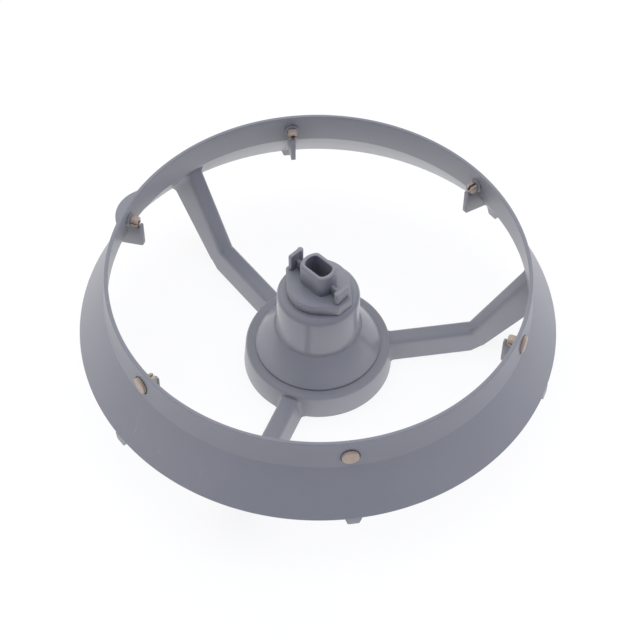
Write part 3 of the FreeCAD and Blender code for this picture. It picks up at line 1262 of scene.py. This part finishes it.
    def spoke_form(self, shape: SpokeShape) -> bpy.types.Mesh:
        """A spoke's form through its stations, or the form of its channel.

        Args:
            shape: Which of a spoke's forms it is.

        Returns:
            The closed form, along +X.
        """
        top, under = self.spoke_lines(shape)
        slope = math.tan(math.radians(self.spoke_draft))
        half_top = self.spoke_width / 2.0
        edge, depths = 0.0, [0.0]
        if shape.lowering:
            half_top += self.spoke_wall * (slope - math.hypot(1.0, slope))
        if shape.blended:
            edge = self.spoke_edge
            depths = [edge * (1.0 - math.cos(angle)) for angle in quarter_turn(self.edge_steps)]
        rings = []
        for number, (high, low) in enumerate(zip(top, under)):
            length = math.dist(high, low)
            side = []
            for part in (*[depth / length for depth in depths], *self.side_shares):
                x = radius = high[0] + (low[0] - high[0]) * part
                level = high[1] + (low[1] - high[1]) * part
                below = max(self.below_top(radius, level) - shape.lowering, 0.0)
                half = half_top + slope * below
                if shape.blended:
                    missing = max(edge - below, 0.0)
                    half -= edge - math.sqrt(max(edge ** 2 - missing ** 2, 0.0))
                    half += self.flare(radius, level)
                if shape.blended and number <= self.fillet_steps + 1:
                    x, half = self.hub_fillet(number, half, level)
                elif shape.blended and number == len(top) - 1:
                    x = math.sqrt(radius ** 2 - half ** 2)
                side.append((x, half, level))
            rings.append(side + [(x, -half, level) for x, half, level in reversed(side)])
        return stacked(rings, shape.name, strips=True)

    def below_top(self, radius: float, level: float) -> float:
        """How far a point lies below the spoke's bent top.

        Args:
            radius: The point's radius.
            level: The point's level.

        Returns:
            The distance, square to the top's nearer stretch.
        """
        bend_radius, bend_level = self.spoke_bend
        tilts = [math.radians(self.spoke_level_angle), math.radians(self.spoke_rise_angle)]
        return max((bend_level + (radius - bend_radius) * math.tan(tilt) - level) * math.cos(tilt)
                   for tilt in tilts)

    def hub_fillet(self, number: int, half: float, level: float) -> Point2:
        """A point of the blend between a spoke's side and the hub's round wall.

        Args:
            number: 0 for the end inside the hub's wall, then 1 upwards along the blend's arc.
            half: Half the spoke's width at this level.
            level: The point's level.

        Returns:
            The point as seen from above.
        """
        draft = self.hub_foot_radius - self.hub_top_radius
        wall = self.hub_foot_radius - draft * level / self.layout.hub_height
        across = half + self.hub_blend
        along = math.sqrt((wall + self.hub_blend) ** 2 - across ** 2)
        azimuth = math.atan2(across, along)
        if number == 0:
            inside = wall - self.hub_wall / 2.0
            return inside * math.cos(azimuth), inside * math.sin(azimuth)
        angle = math.pi + azimuth + (math.pi / 2.0 - azimuth) * (number - 1) / self.fillet_steps
        return along + self.hub_blend * math.cos(angle), across + self.hub_blend * math.sin(angle)

    def flare(self, radius: float, level: float) -> float:
        """How much wider a spoke is near the skirt.

        Args:
            radius: The point's radius.
            level: The point's level.

        Returns:
            What each side gains there.
        """
        lean = math.cos(math.atan(self.skirt_slope if level < self.bend_level else self.wall_slope))
        gap = (self.inner_radius(level) - radius) * lean
        missing = self.skirt_blend - max(gap, 0.0)
        if missing <= 0.0:
            return 0.0
        return self.skirt_blend - math.sqrt(self.skirt_blend ** 2 - missing ** 2)

    def spoke(self) -> bpy.types.Mesh:
        """One spoke along +X, a channel that is open below.

        Returns:
            The mesh.
        """
        body = SpokeShape("spoke", self.hub_foot_radius - self.hub_wall / 2.0, share=0.5, blended=True)
        channel = SpokeShape("channel", self.hub_foot_radius + self.end_wall, share=1.0, gap=self.end_wall,
                             lowering=self.spoke_wall, drop=self.channel_depth)
        return joined(self.spoke_form(body), [self.spoke_form(channel)], Join.DIFFERENCE)

    def build(self) -> bpy.types.Object:
        """Make the whole moulding as one piece.

        Returns:
            The piece.
        """
        spokes = self.forms.around(self.spoke(), self.spoke_count, 0.0, self.plastic)
        others = [self.hub(), self.tab(), self.feet(), self.ribs(), self.bosses(), spokes]
        mesh = joined(self.shell(), others, Join.UNION)
        mesh = joined(mesh, [self.seats()], Join.DIFFERENCE)
        return finished(mesh, "ring_moulding", "ring", Slot.RING, self.plastic, ["ring_frame"])


@dataclass
class CouplingMoulding:
    """The hollow tower on its flange, with the snap hooks underneath."""

    layout: Layout
    forms: FormTree
    plastic: bpy.types.Material

    flange_radius: float = 29.2
    flange_edge: float = 1.0
    flange_thickness: float = 2.2
    cone_top_radius: float = 20.3
    cone_top: float = 26.6
    tower_foot_radius: float = 19.1
    tower_head_radius: float = 18.9
    tower_wall: float = 2.2
    top_thickness: float = 2.4
    head_rounding: float = 3.5
    root_rounding: float = 1.0
    shoulder_rounding: float = 0.5
    bore: float = 9.05
    small_rounding: float = 0.25
    segments: int = 256

    hook_count: int = 3
    hook_outer: float = 24.3
    hook_thickness: float = 1.7
    hook_reach: float = 1.2
    hook_top: float = 10.7
    hook_bottom: float = 8.5
    hook_root: float = 19.9
    hook_width: float = 10.0
    hook_steps: int = 12

    def hooks(self) -> bpy.types.Mesh:
        """The springy hooks that catch below the hub's top.

        Returns:
            One mesh with all of them.
        """
        inner = self.hook_outer - self.hook_thickness
        outline = rounded_outline([
            Corner(inner, self.hook_bottom, self.small_rounding),
            Corner(inner, self.hook_root),
            Corner(self.hook_outer, self.hook_root),
            Corner(self.hook_outer, self.hook_top, self.small_rounding),
            Corner(self.hook_outer + self.hook_reach, self.hook_top, self.small_rounding),
            Corner(self.hook_outer, self.hook_bottom, self.small_rounding),
        ])
        spread = self.hook_width / self.hook_outer
        mesh = softened(sector(outline, spread, self.hook_steps, "hook"), self.small_rounding)
        return self.forms.around(mesh, self.hook_count, self.layout.coupling_turn, self.plastic)

    def build(self) -> bpy.types.Object:
        """Make the coupling.

        Returns:
            The piece.
        """
        bottom, top = self.layout.hub_height, self.layout.tower_top
        edge_level = bottom + self.flange_edge
        flare = (self.flange_radius - self.cone_top_radius) / (self.cone_top - edge_level)
        run = self.flange_thickness * math.hypot(1.0, flare)
        inner = self.tower_head_radius - self.tower_wall
        inner_foot = self.flange_radius - run + self.flange_edge * flare
        inner_top = bottom + (inner_foot - inner) / flare
        ceiling = top - self.top_thickness
        outline = rounded_outline([
            Corner(self.flange_radius, bottom),
            Corner(self.flange_radius, edge_level, self.small_rounding),
            Corner(self.cone_top_radius, self.cone_top, self.shoulder_rounding),
            Corner(self.tower_foot_radius, self.cone_top, self.root_rounding),
            Corner(self.tower_head_radius, top, self.head_rounding),
            Corner(self.bore, top, self.small_rounding),
            Corner(self.bore, ceiling),
            Corner(inner, ceiling, self.small_rounding),
            Corner(inner, inner_top, self.small_rounding),
            Corner(inner_foot, bottom),
        ])
        tower = self.forms.turned(outline, self.segments, self.plastic, "tower")
        mesh = joined(tower, [self.hooks()], Join.UNION)
        return finished(mesh, "coupling_moulding", "coupling", Slot.COUPLING, self.plastic, ["coupling"])


@dataclass
class InsertMoulding:
    """The keyed plate with its stem, its socket boss and its two dogs."""

    layout: Layout
    plastic: bpy.types.Material

    stem_radius: float = 9.0
    stem_bottom: float = 4.0
    stem_steps: int = 96
    sunk: float = 1.0
    plate_thickness: float = 5.4
    plate_radius: float = 14.3
    flat_distance: float = 16.8
    flat_half: float = 4.0
    plate_edge: float = 0.5
    plate_steps: int = 28

    boss_height: float = 11.6
    boss_radius: float = 8.3
    boss_half_width: float = 5.8
    boss_corner: float = 2.5
    boss_edge: float = 0.9
    mouth_steps: int = 5
    socket_radius: float = 6.3
    socket_half_width: float = 3.9
    socket_corner: float = 2.2
    socket_lip: float = 0.4

    low_dog: float = 6.5
    high_dog: float = 9.5
    dog_thickness: float = 1.85
    dog_setback: float = 1.7
    dog_corner: float = 0.8
    post_radius: float = 1.4
    post_steps: int = 32
    post_offset: float = 2.45
    post_proud: float = 0.3
    bridge_width: float = 1.6
    bridge_height: float = 5.0
    small_rounding: float = 0.22

    @property
    def plate_top(self) -> float:
        """Level of the plate's top."""
        return self.layout.tower_top + self.plate_thickness

    @property
    def boss_top(self) -> float:
        """Level of the boss's top."""
        return self.plate_top + self.boss_height

    def plate(self) -> bpy.types.Mesh:
        """The round plate that widens to a flat at each dog.

        Returns:
            The mesh.
        """
        corner_angle = math.atan2(self.flat_half, self.flat_distance)
        corner_distance = math.hypot(self.flat_distance, self.flat_half)
        touch = corner_angle + math.acos(self.plate_radius / corner_distance)
        bulge = arc(self.plate_radius, touch, math.pi - touch, self.plate_steps)
        half = [(self.flat_distance, self.flat_half), *bulge, (-self.flat_distance, self.flat_half)]
        outline = half + [(-x, -y) for x, y in half]
        return softened(upright(outline, self.layout.tower_top, self.plate_top, "plate"), self.plate_edge, 4)

    def boss(self) -> bpy.types.Mesh:
        """The boss round the socket, with a rounded top edge.

        Returns:
            The mesh.
        """
        edge = self.boss_edge
        rings = [(self.layout.tower_top + self.sunk, 0.0), (self.plate_top + self.sunk, 0.0)]
        rings += [(self.boss_top - edge * (1.0 - math.sin(angle)), edge * (1.0 - math.cos(angle)))
                  for angle in quarter_turn(self.mouth_steps)]
        return stacked([[(x, y, level) for x, y in
                         double_d(self.boss_radius, self.boss_half_width, self.boss_corner, inset)]
                        for level, inset in rings], "boss")

    def socket(self) -> bpy.types.Mesh:
        """What is cut out for the drive shaft, widened at both mouths.

        Returns:
            The mesh.
        """
        lip = self.socket_lip
        bottom = self.stem_bottom
        rings = [(bottom - self.sunk, -lip), (bottom, -lip), (bottom + lip, 0.0)]
        rings += [(self.boss_top - lip * (1.0 - math.sin(angle)), -lip * (1.0 - math.cos(angle)))
                  for angle in quarter_turn(self.mouth_steps)]
        rings += [(self.boss_top + self.sunk, -lip)]
        return stacked([[(x, y, level) for x, y in
                         double_d(self.socket_radius, self.socket_half_width, self.socket_corner, inset)]
                        for level, inset in rings], "socket")

    def stem(self) -> bpy.types.Mesh:
        """The round stem inside the tower.

        Returns:
            The mesh.
        """
        outline = arc(self.stem_radius, 0.0, 2.0 * math.pi, self.stem_steps)[:-1]
        top = self.layout.tower_top + self.sunk
        return softened(upright(outline, self.stem_bottom, top, "stem"), self.small_rounding)

    def dog(self, height: float) -> list[bpy.types.Mesh]:
        """One of the two dogs, on the +X side.

        Args:
            height: How far it stands above the plate.

        Returns:
            Its blade, its post and the bridge that joins it to the boss.
        """
        outer = self.flat_distance - self.dog_setback
        low = self.plate_top - self.plate_edge
        high = self.plate_top + height
        face = rounded_outline([
            Corner(-self.post_offset, low),
            Corner(self.flat_half, low),
            Corner(self.flat_half, high, self.dog_corner),
            Corner(-self.post_offset, high),
        ])
        blade = stacked([[(x, y, level) for y, level in face] for x in (outer - self.dog_thickness, outer)],
                        "blade")
        centre = (outer + self.post_proud - self.post_radius, -self.post_offset)
        ring = arc(self.post_radius, 0.0, 2.0 * math.pi, self.post_steps, centre)[:-1]
        post = upright(ring, low, high + HAIR, "post")
        end = outer - self.dog_thickness / 2.0
        half = self.bridge_width / 2.0
        bridge = upright([(0.0, -half), (end, -half), (end, half), (0.0, half)], low,
                         self.plate_top + self.bridge_height, "bridge")
        return [softened(mesh, self.small_rounding) for mesh in (blade, post, bridge)]

    def build(self) -> bpy.types.Object:
        """Make the insert.

        Returns:
            The piece.
        """
        pieces = [self.stem(), self.boss()]
        for angle, height in ((0.0, self.low_dog), (math.pi, self.high_dog)):
            for mesh in self.dog(height):
                mesh.transform(Matrix.Rotation(angle, 4, "Z"))
                pieces.append(mesh)
        mesh = joined(self.plate(), pieces, Join.UNION)
        mesh = joined(mesh, [self.socket()], Join.DIFFERENCE)
        mesh.transform(Matrix.Rotation(math.radians(self.layout.coupling_turn), 4, "Z"))
        return finished(mesh, "insert_moulding", "coupling", Slot.INSERT, self.plastic, ["drive_insert"])


@dataclass
class RollerSet:
    """The small rollers, each with its axle and split, barbed inner end."""

    layout: Layout
    forms: FormTree
    plastic: bpy.types.Material

    tip: float = 89.0
    tip_radius: float = 2.2
    barb_radius: float = 2.6
    barb_taper: float = 1.0
    barb_length: float = 3.3
    barb_half_width: float = 2.05
    axle_radius: float = 2.0
    head_inner: float = 95.51
    head_thickness: float = 1.6
    head_radius: float = 3.8
    head_rounding: float = 0.6
    slot_width: float = 1.0
    bore_radius: float = 1.1
    bore_depth: float = 3.8
    small_rounding: float = 0.12
    segments: int = 64
    past: float = 1.0
    turns: tuple[float, ...] = (8.0, 92.0, 95.0, 4.0, 0.0, 84.0)

    def roller(self) -> bpy.types.Mesh:
        """One roller along +X.

        Returns:
            The mesh.
        """
        barb_outer = self.tip + self.barb_length
        face = self.head_inner + self.head_thickness
        mesh = self.forms.pin([
            Corner(0.0, self.tip + self.bore_depth),
            Corner(self.bore_radius, self.tip + self.bore_depth),
            Corner(self.bore_radius, self.tip),
            Corner(self.tip_radius, self.tip, self.small_rounding),
            Corner(self.barb_radius, self.tip + self.barb_taper, self.small_rounding),
            Corner(self.barb_radius, barb_outer, self.small_rounding),
            Corner(self.axle_radius, barb_outer),
            Corner(self.axle_radius, self.head_inner),
            Corner(self.head_radius, self.head_inner, self.small_rounding),
            Corner(self.head_radius, face, self.head_rounding),
            Corner(0.0, face),
        ], 0.0, self.segments, self.plastic, "roller")
        reach = 2.0 * self.barb_radius
        flat = self.barb_half_width
        cuts = [self.box(self.bore_depth, (-self.slot_width / 2.0, self.slot_width / 2.0), (-reach, reach))]
        for side in ((flat, reach), (-reach, -flat)):
            cuts.append(self.box(self.barb_length, side, (-reach, reach)))
            cuts.append(self.box(self.barb_length, (-reach, reach), side))
        return joined(mesh, cuts, Join.DIFFERENCE)

    def box(self, depth: float, across: Point2, levels: Point2) -> bpy.types.Mesh:
        """A box that cuts into a roller's tip.

        Args:
            depth: How far it goes in from the tip.
            across: Where it starts and ends along Y.
            levels: Where it starts and ends along Z.

        Returns:
            The box.
        """
        start, end = self.tip - self.past, self.tip + depth
        near, far = across
        return upright([(start, near), (end, near), (end, far), (start, far)], *levels, "cut")

    def build(self) -> list[bpy.types.Object]:
        """Make all the rollers.

        Returns:
            The pieces.
        """
        pieces = []
        count = self.layout.roller_count
        lift = Matrix.Translation((0.0, 0.0, self.layout.roller_level))
        for index in range(count):
            mesh = self.roller()
            angle = math.radians(self.layout.roller_first + 360.0 * index / count)
            own_turn = Matrix.Rotation(math.radians(self.turns[index]), 4, "X")
            mesh.transform(Matrix.Rotation(angle, 4, "Z") @ lift @ own_turn)
            name = f"roller_{index + 1}"
            pieces.append(finished(mesh, f"{name}_pin", name, Slot.ROLLER, self.plastic, [name]))
        return pieces


@dataclass
class Studio:
    """The white floor, the soft light all round and the camera.

    The floor, the limits of its glow and the camera's range are metres. The camera's place is
    millimetres from a pivot on the ring's axis, as seen along the camera's own directions.
    """

    floor_size: float = 12.0
    floor_white: float = 0.92
    white_share: float = 0.85
    near_glow: Colour = (1.65, 1.6, 1.58)
    far_glow: Colour = (0.6, 0.58, 0.57)
    glow_limits: Point2 = (0.08, 0.15)
    top_light: Colour = (1.95, 2.03, 2.4)
    top_limits: Point2 = (0.8, 0.92)
    side_level: float = 1.9
    side_light: tuple[Colour, ...] = (
        (0.64, 0.67, 0.78),
        (0.96, 0.93, 0.92),
        (1.0, 0.97, 0.95),
        (0.44, 0.46, 0.55),
        (0.0, 0.0, 0.03),
        (0.0, 0.02, 0.12),
    )

    pivot_level: float = 66.5
    azimuth: float = -8.5
    elevation: float = 51.8258
    roll: float = -0.70934
    pivot_right: float = -0.5742
    pivot_down: float = -23.43
    pivot_away: float = 767.935
    lens: float = 97.426
    sensor: float = 36.0
    nearest: float = 0.01
    farthest: float = 20.0

    def camera(self) -> None:
        """Look at the ring from the photograph's place."""
        tilt = math.radians(self.elevation)
        roll = math.radians(self.roll)
        right = Vector((1.0, 0.0, 0.0))
        down = Vector((0.0, -math.sin(tilt), -math.cos(tilt)))
        forward = Vector((0.0, math.cos(tilt), -math.sin(tilt)))
        rolled_right = right * math.cos(roll) + down * math.sin(roll)
        rolled_down = down * math.cos(roll) - right * math.sin(roll)
        offset = rolled_right * self.pivot_right + rolled_down * self.pivot_down + forward * self.pivot_away
        data = bpy.data.cameras.new("photo_view")
        data.sensor_fit = "HORIZONTAL"
        data.sensor_width = self.sensor
        data.lens = self.lens
        data.clip_start = self.nearest
        data.clip_end = self.farthest
        camera = bpy.data.objects.new("photo_view", data)
        bpy.context.scene.collection.objects.link(camera)
        axes = Matrix((rolled_right, -rolled_down, -forward)).transposed().to_4x4()
        place = Matrix.Translation((0.0, 0.0, self.pivot_level * MM))
        turn = Matrix.Rotation(math.radians(self.azimuth), 4, "Z")
        camera.matrix_world = place @ turn @ Matrix.Translation(-offset * MM) @ axes
        bpy.context.scene.camera = camera

    def floor(self) -> None:
        """A white floor that lights from below, shows as white and keeps the object's shadow."""
        half = self.floor_size / 2.0
        mesh = bpy.data.meshes.new("floor")
        corners = [(-half, -half, 0.0), (half, -half, 0.0), (half, half, 0.0), (-half, half, 0.0)]
        mesh.from_pydata(corners, [], [(0, 1, 2, 3)])
        made = bpy.data.materials.new("white_floor")
        graph = cleared(made)
        seen = self.seen(graph)
        place = graph.wire("ShaderNodeTexCoord", {}, {}, "Object")
        distance = graph.wire("ShaderNodeVectorMath", {"operation": "LENGTH"}, {0: place}, "Value")
        light_below = graph.blend(graph.eased(distance, self.glow_limits), self.near_glow, self.far_glow)
        plain = graph.blend(seen * self.white_share, [self.floor_white] * 3, [0.0] * 3)
        glow = graph.blend(seen, light_below, [self.white_share] * 3)
        diffuse = graph.wire("ShaderNodeBsdfDiffuse", {}, {"Color": plain})
        light = graph.wire("ShaderNodeEmission", {}, {"Color": glow, "Strength": 1.0})
        surface = graph.wire("ShaderNodeAddShader", {}, {0: diffuse, 1: light})
        graph.node("ShaderNodeOutputMaterial", {}, {"Surface": surface})
        mesh.materials.append(made)
        placed(mesh, "floor")

    @staticmethod
    def seen(graph: Graph) -> Wire:
        """One for rays from the camera, a reflection or clear matter, and nothing for the rest.

        Args:
            graph: The nodes that ask for it.

        Returns:
            The share of what the camera is shown.
        """
        rays = graph.node("ShaderNodeLightPath", {}, {})
        camera, glossy, clear = (Wire(graph, rays.outputs[name]) for name in
                                 ("Is Camera Ray", "Is Glossy Ray", "Is Transmission Ray"))
        return camera.maths("MINIMUM", camera + glossy + clear, 1.0)

    def world(self) -> None:
        """Soft light: neutral from behind, bluer from above and the right, and little from the camera."""
        world = bpy.data.worlds.new("studio")
        graph = cleared(world)
        direction = graph.wire("ShaderNodeTexCoord", {}, {}, "Generated")
        parts = graph.node("ShaderNodeSeparateXYZ", {}, {"Vector": direction})
        across, along, height = (Wire(graph, socket) for socket in parts.outputs)
        azimuth = across.maths("ARCTAN2", along, across) / (2.0 * math.pi)
        count = len(self.side_light)
        stops = [(index / count, self.side_light[index % count]) for index in range(count + 1)]
        ramp = graph.node("ShaderNodeValToRGB", {"stops": stops}, {0: (azimuth + 1.0) % 1.0})
        ramp.color_ramp.interpolation = "EASE"
        sides = graph.wire("ShaderNodeVectorMath", {"operation": "SCALE"}, {
            0: Wire(graph, ramp.outputs[0]),
            "Scale": self.side_level,
        })
        light = graph.blend(graph.eased(height, self.top_limits), sides, self.top_light)
        colour = graph.blend(self.seen(graph), light, [1.0] * 3)
        surface = graph.wire("ShaderNodeBackground", {}, {"Color": colour, "Strength": 1.0})
        graph.node("ShaderNodeOutputWorld", {}, {"Surface": surface})
        bpy.context.scene.world = world

    def build(self) -> None:
        """Set up floor, light and camera."""
        self.floor()
        self.world()
        self.camera()
        bpy.context.scene.view_settings.view_transform = "Standard"
        log.info("studio: floor, world and camera")


def main() -> None:
    """Build every piece in order and report it."""
    logging.basicConfig(level=logging.INFO, format="%(name)s: %(message)s")
    layout = Layout()
    forms = FormTree()
    RingMoulding(layout, forms, RING_FINISH.material()).build()
    CouplingMoulding(layout, forms, COUPLING_FINISH.material()).build()
    InsertMoulding(layout, INSERT_FINISH.material()).build()
    RollerSet(layout, forms, ROLLER_FINISH.material()).build()
    Studio().build()


if __name__ == "__main__":
    main()
